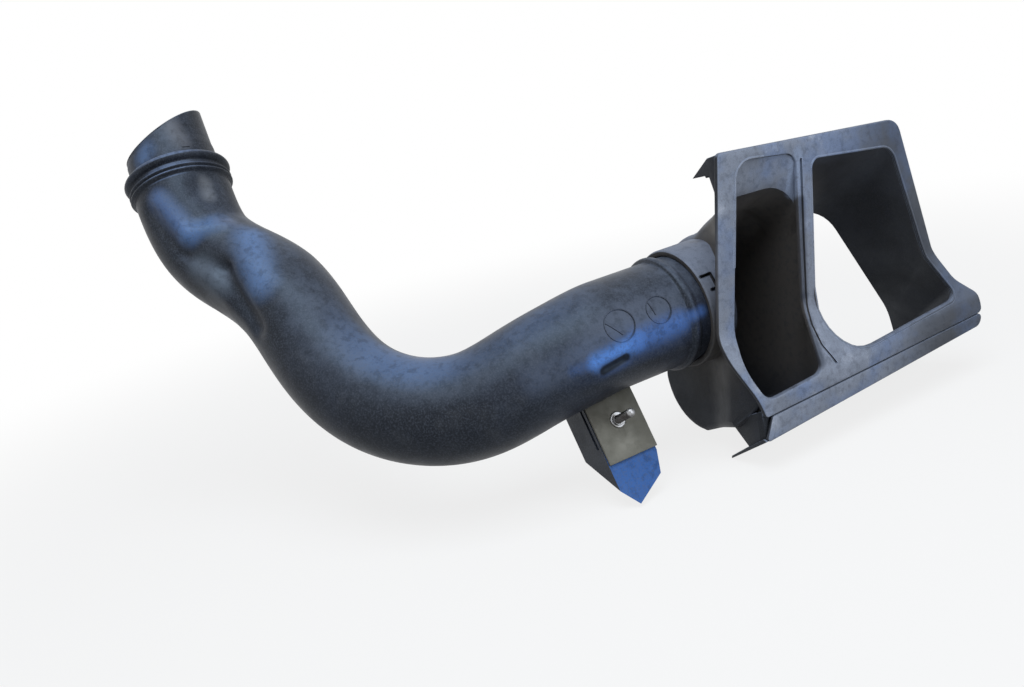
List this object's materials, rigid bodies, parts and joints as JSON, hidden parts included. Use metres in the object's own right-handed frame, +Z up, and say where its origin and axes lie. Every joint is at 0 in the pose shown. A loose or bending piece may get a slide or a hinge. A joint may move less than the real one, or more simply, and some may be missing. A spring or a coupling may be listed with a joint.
{
  "type": "air intake duct",
  "caption": "Curved moulded air intake duct: a bent pipe with a slant-cut ridged spigot, a lug with a clip and stud, and a wide flanged scoop mouth split by a divider.",
  "frame": {"origin": "centre of the fixing stud where it meets the front face of the spring clip", "axes": "+X out of the scoop's mouth, +Y along the straight end of the pipe towards the scoop, +Z up the mouth"},
  "size_m": [0.3766, 0.5446, 0.3327],
  "materials": {
    "pipe_plastic": "satin, slightly wavy, bluish black",
    "scoop_plastic": "matte, dusty, bluish black",
    "clip_steel": "dull, stained phosphate steel",
    "stud_steel": "dull zinc"
  },
  "bodies": {
    "root": {"duct_pipe": "pipe_plastic", "intake_scoop": "scoop_plastic", "spring_clip": "clip_steel", "fixing_stud": "stud_steel"}
  },
  "joints": []
}
